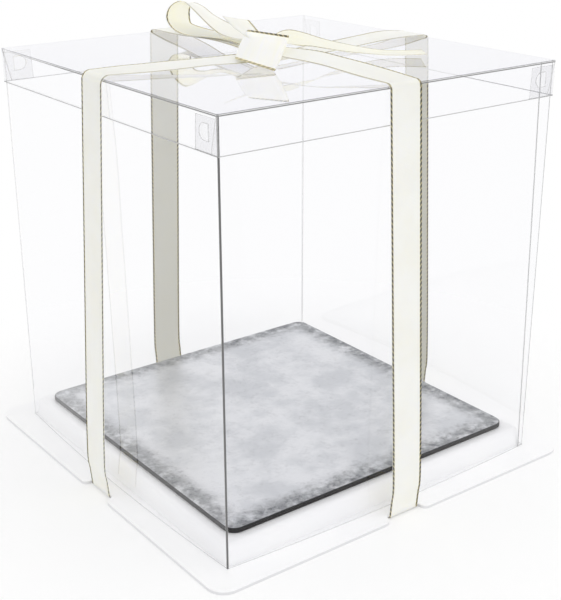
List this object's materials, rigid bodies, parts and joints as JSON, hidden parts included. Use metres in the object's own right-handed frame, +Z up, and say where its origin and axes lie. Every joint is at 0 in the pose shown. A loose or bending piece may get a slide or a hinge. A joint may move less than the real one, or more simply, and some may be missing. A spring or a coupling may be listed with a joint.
{
  "type": "cake carrier",
  "caption": "Clear box-shaped cake carrier: a white tray with a loose board under a folded see-through sleeve and lid, tied crosswise with a ribbon and a bow.",
  "frame": {"origin": "middle of the tray on the surface that it stands on", "axes": "+Z up; -Y looks out of the wall with the glue flap, which is the right-hand wall in the picture, and -X out of the left-hand one"},
  "size_m": [0.316, 0.316, 0.3269],
  "materials": {
    "tray": "white formed sheet, soft gloss",
    "board": "silver foil top, dark grey edge",
    "clear_sheet": "clear folded sheet, high gloss",
    "ribbon": "cream satin with gold thread edges"
  },
  "bodies": {
    "tray_body": {"base_tray": "tray", "ribbon_under_across": "ribbon", "ribbon_under_along": "ribbon"},
    "board_body": {"cake_board": "board"},
    "sleeve_body": {"sleeve": "clear_sheet"},
    "lid_body": {"lid": "clear_sheet"},
    "ribbon_body": {"ribbon_knot": "ribbon", "bow_loop": "ribbon", "tail_long": "ribbon", "tail_short": "ribbon", "ribbon_top_front_right": "ribbon", "ribbon_top_rear_right": "ribbon", "ribbon_top_rear_left": "ribbon", "ribbon_top_front_left": "ribbon", "ribbon_side_front_right": "ribbon", "ribbon_side_rear_right": "ribbon", "ribbon_side_rear_left": "ribbon", "ribbon_side_front_left": "ribbon"}
  },
  "joints": [
    {"name": "board_lift", "type": "slide", "parent": "tray_body", "child": "board_body", "axis": [0, 0, 1], "range_m": [0, 0.269]},
    {"name": "sleeve_lift", "type": "slide", "parent": "tray_body", "child": "sleeve_body", "axis": [0, 0, 1], "range_m": [0, 0.3]},
    {"name": "lid_lift", "type": "slide", "parent": "sleeve_body", "child": "lid_body", "axis": [0, 0, 1], "range_m": [0, 0.06]},
    {"name": "ribbon_lift", "type": "slide", "parent": "lid_body", "child": "ribbon_body", "axis": [0, 0, 1], "range_m": [0, 0.32]}
  ]
}
